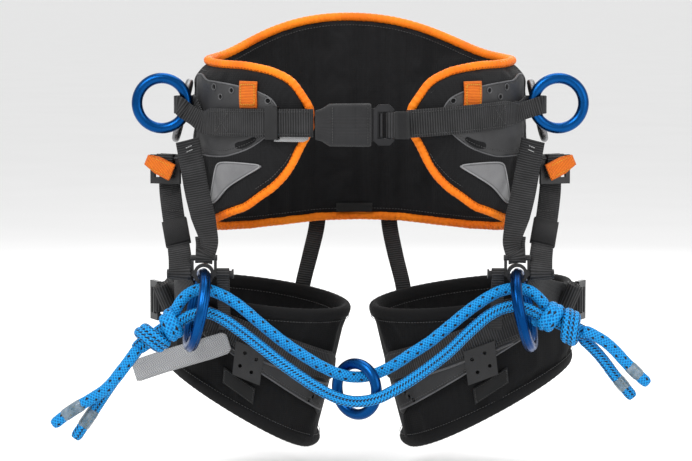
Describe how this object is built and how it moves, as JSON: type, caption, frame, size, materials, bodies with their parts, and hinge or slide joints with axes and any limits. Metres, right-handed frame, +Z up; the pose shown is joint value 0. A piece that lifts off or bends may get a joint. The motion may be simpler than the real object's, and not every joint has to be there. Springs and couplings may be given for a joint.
{
  "type": "tree-climbing saddle harness",
  "caption": "Padded waist belt with orange piping, side rings, padded leg loops and a blue rope bridge carrying a ring.",
  "frame": {"origin": "centre of the waist opening, halfway through its depth and level with the waist webbing", "axes": "+Z up along the wearer, +Y to the wearer's back, +X to the right as seen from the front"},
  "size_m": [0.6248, 0.2984, 0.4645],
  "materials": {
    "lining": "matt",
    "piping": "satin",
    "label": "matt",
    "hip_plate": "matt",
    "badge": "satin",
    "orange_tab": "matt",
    "webbing": "matt",
    "keeper": "matt",
    "grey_webbing": "matt",
    "dark_metal": "satin",
    "black_plastic": "satin",
    "grey_metal": "satin",
    "blue_metal": "satin anodised",
    "rope": "matt",
    "sleeve_film": "gloss"
  },
  "bodies": {
    "belt": {"back_pad": "lining", "edge_piping": "piping", "back_label": "label", "hip_plate_left": "hip_plate", "hip_plate_right": "hip_plate", "hip_badges": "badge", "gear_tabs": "orange_tab", "waist_webbing_left": "webbing", "waist_webbing_right": "webbing", "waist_strap_tail": "grey_webbing", "buckle_cover": "webbing", "waist_buckle_latch": "dark_metal", "waist_sleeve": "webbing", "hip_rings": "grey_metal", "side_ring_loops": "webbing", "drop_strap_front_left": "webbing", "drop_strap_front_right": "webbing", "drop_strap_rear_left": "webbing", "drop_strap_rear_right": "webbing", "drop_keepers": "keeper", "drop_buckle_loops": "webbing", "lower_links": "grey_metal", "bridge_rope_upper": "rope", "bridge_rope_lower": "rope", "stopper_knots": "rope", "rope_tail_left_upper": "rope", "rope_tail_left_lower": "rope", "rope_tail_right_upper": "rope", "rope_tail_right_lower": "rope", "tail_bands": "sleeve_film", "rear_strap_left": "webbing", "rear_strap_right": "webbing", "rear_adjusters": "black_plastic"},
    "waist_keeper": {"waist_keeper": "keeper"},
    "waist_buckle": {"waist_buckle_frame": "dark_metal"},
    "side_ring_left": {"side_ring_left": "blue_metal"},
    "side_ring_right": {"side_ring_right": "blue_metal"},
    "drop_buckle_left": {"drop_buckle_left": "black_plastic", "pull_tab_left": "orange_tab"},
    "drop_buckle_right": {"drop_buckle_right": "black_plastic", "pull_tab_right": "orange_tab"},
    "bridge_ring_left": {"bridge_ring_left": "blue_metal"},
    "bridge_ring_right": {"bridge_ring_right": "blue_metal"},
    "centre_ring": {"centre_ring": "blue_metal"},
    "leg_loop_left": {"leg_pad_left": "lining", "leg_panel_left": "hip_plate", "leg_plate_left": "black_plastic", "leg_webbing_left": "webbing", "leg_roll_left": "webbing", "leg_label_left": "label", "leg_strap_tail": "grey_webbing"},
    "leg_loop_right": {"leg_pad_right": "lining", "leg_panel_right": "hip_plate", "leg_plate_right": "black_plastic", "leg_webbing_right": "webbing", "leg_roll_right": "webbing", "leg_label_right": "label"},
    "leg_buckle_left": {"leg_buckle_left": "black_plastic"},
    "leg_buckle_right": {"leg_buckle_right": "black_plastic"}
  },
  "joints": [
    {"name": "waist_keeper_slide", "type": "slide", "parent": "belt", "child": "waist_keeper", "axis": [0.9303, -0.3668, 0], "range_m": [-0.008, 0.008]},
    {"name": "waist_buckle_hinge", "type": "hinge", "parent": "belt", "child": "waist_buckle", "pos_m": [0.0315, -0.132, 0.006], "axis": [0, 0, 1], "range_deg": [0, 40]},
    {"name": "side_ring_left_swing", "type": "hinge", "parent": "belt", "child": "side_ring_left", "pos_m": [-0.186, -0.045, 0.025], "axis": [0, 0, 1], "range_deg": [-25, 40]},
    {"name": "side_ring_right_swing", "type": "hinge", "parent": "belt", "child": "side_ring_right", "pos_m": [0.186, -0.045, 0.025], "axis": [0, 0, 1], "range_deg": [-40, 25]},
    {"name": "drop_buckle_left_lift", "type": "hinge", "parent": "belt", "child": "drop_buckle_left", "pos_m": [-0.207, -0.038, -0.034], "axis": [-0.9397, 0.342, 0], "range_deg": [0, 40]},
    {"name": "drop_buckle_right_lift", "type": "hinge", "parent": "belt", "child": "drop_buckle_right", "pos_m": [0.207, -0.038, -0.034], "axis": [-0.9397, -0.342, 0], "range_deg": [0, 40]},
    {"name": "bridge_ring_left_turn", "type": "hinge", "parent": "belt", "child": "bridge_ring_left", "pos_m": [-0.163, -0.112, -0.15], "axis": [0, 0, 1], "range_deg": [-5, 5]},
    {"name": "bridge_ring_right_turn", "type": "hinge", "parent": "belt", "child": "bridge_ring_right", "pos_m": [0.163, -0.112, -0.15], "axis": [0, 0, 1], "range_deg": [-5, 5]},
    {"name": "centre_ring_swing", "type": "hinge", "parent": "belt", "child": "centre_ring", "pos_m": [-0.004, -0.128, -0.256], "axis": [1, 0, 0], "range_deg": [0, 15]},
    {"name": "leg_loop_left_lift", "type": "hinge", "parent": "belt", "child": "leg_loop_left", "pos_m": [-0.143, -0.112, -0.15], "axis": [1, 0, 0], "range_deg": [0, 12], "deforming": ["rear_strap_left"]},
    {"name": "leg_loop_right_lift", "type": "hinge", "parent": "belt", "child": "leg_loop_right", "pos_m": [0.143, -0.112, -0.15], "axis": [1, 0, 0], "range_deg": [0, 12], "deforming": ["rear_strap_right"]},
    {"name": "leg_buckle_left_swing", "type": "hinge", "parent": "leg_loop_left", "child": "leg_buckle_left", "pos_m": [-0.2169, -0.02245, -0.188], "axis": [0, 0, 1], "range_deg": [0, 35]},
    {"name": "leg_buckle_right_swing", "type": "hinge", "parent": "leg_loop_right", "child": "leg_buckle_right", "pos_m": [0.23412, -0.02245, -0.188], "axis": [0, 0, -1], "range_deg": [0, 35]}
  ]
}
